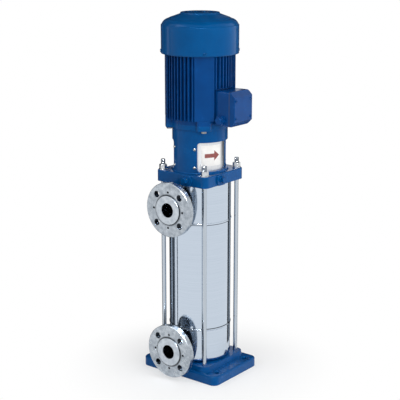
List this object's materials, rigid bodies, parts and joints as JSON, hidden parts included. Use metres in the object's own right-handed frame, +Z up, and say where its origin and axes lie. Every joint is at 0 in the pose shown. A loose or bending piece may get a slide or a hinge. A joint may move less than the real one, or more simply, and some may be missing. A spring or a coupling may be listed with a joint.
{
  "type": "vertical multistage pump",
  "caption": "Vertical multistage pump: polished casing with both flanged ports on one side, tie rods, lantern with guarded coupling, finned motor on top.",
  "frame": {"origin": "on the shaft axis at the underside of the base plate, which is the centre of the foot bolts", "axes": "+Z up along the shaft; -Y is the side of both ports; +X is the side of the terminal box"},
  "size_m": [0.279, 0.248, 1.007],
  "materials": {
    "blue_enamel_cast_iron": "gloss enamel over cast iron",
    "blue_enamel_aluminium": "gloss enamel over die-cast aluminium",
    "blue_enamel_steel": "gloss enamel over sheet steel",
    "polished_stainless": "mirror polished",
    "stainless": "satin",
    "plated_steel": "zinc plated",
    "black_steel": "blackened",
    "electrical_steel": "laminated",
    "copper_winding": "varnished wire",
    "seal_rubber": "matt",
    "carbide": "lapped",
    "fan_plastic": "moulded",
    "board_plastic": "moulded"
  },
  "bodies": {
    "pump": {"base_plate": "blue_enamel_cast_iron", "cable_entry_plug": "blue_enamel_aluminium", "casing_seals": "seal_rubber", "coupling_guard_front": "polished_stainless", "coupling_guard_rear": "polished_stainless", "diffuser_1": "stainless", "diffuser_2": "stainless", "diffuser_3": "stainless", "diffuser_4": "stainless", "diffuser_5": "stainless", "diffuser_6": "stainless", "discharge_casing": "polished_stainless", "drain_plug": "stainless", "drive_end_bearing": "plated_steel", "drive_end_shield": "blue_enamel_cast_iron", "fan_cover": "blue_enamel_steel", "fan_cover_screws": "plated_steel", "fan_end_bearing": "plated_steel", "fan_end_shield": "blue_enamel_cast_iron", "fill_plug": "stainless", "guard_screws": "plated_steel", "lid_screws": "plated_steel", "lower_bush": "carbide", "motor_bolts": "plated_steel", "motor_frame": "blue_enamel_aluminium", "outer_sleeve": "polished_stainless", "pump_head": "blue_enamel_cast_iron", "seal_housing": "stainless", "seal_seat_ring": "carbide", "stage_clamp": "stainless", "stator_core": "electrical_steel", "stator_windings": "copper_winding", "suction_casing": "polished_stainless", "terminal_board": "board_plastic", "terminal_box": "blue_enamel_aluminium", "terminal_box_gasket": "seal_rubber", "terminal_box_lid": "blue_enamel_aluminium", "tie_rod_nuts": "stainless", "tie_rod_washers": "stainless", "tie_rods": "stainless", "vent_plug": "stainless"},
    "rotor": {"impeller_1": "stainless", "impeller_2": "stainless", "impeller_3": "stainless", "impeller_4": "stainless", "impeller_5": "stainless", "impeller_6": "stainless", "pump_shaft": "stainless", "shaft_nut": "stainless", "shaft_sleeves": "stainless", "seal_rotating_ring": "carbide", "coupling_half_front": "black_steel", "coupling_half_rear": "black_steel", "coupling_screws": "plated_steel", "motor_shaft": "plated_steel", "rotor_core": "electrical_steel", "cooling_fan": "fan_plastic"},
    "suction_flange": {"suction_flange": "stainless"},
    "discharge_flange": {"discharge_flange": "stainless"}
  },
  "joints": [
    {"name": "rotor_spin", "type": "hinge", "parent": "pump", "child": "rotor", "pos_m": [0, 0, 0.6], "axis": [0, 0, 1], "continuous": true},
    {"name": "suction_flange_turn", "type": "hinge", "parent": "pump", "child": "suction_flange", "pos_m": [0, -0.131, 0.084], "axis": [0, -1, 0], "continuous": true},
    {"name": "discharge_flange_turn", "type": "hinge", "parent": "pump", "child": "discharge_flange", "pos_m": [0, -0.131, 0.49], "axis": [0, -1, 0], "continuous": true}
  ]
}
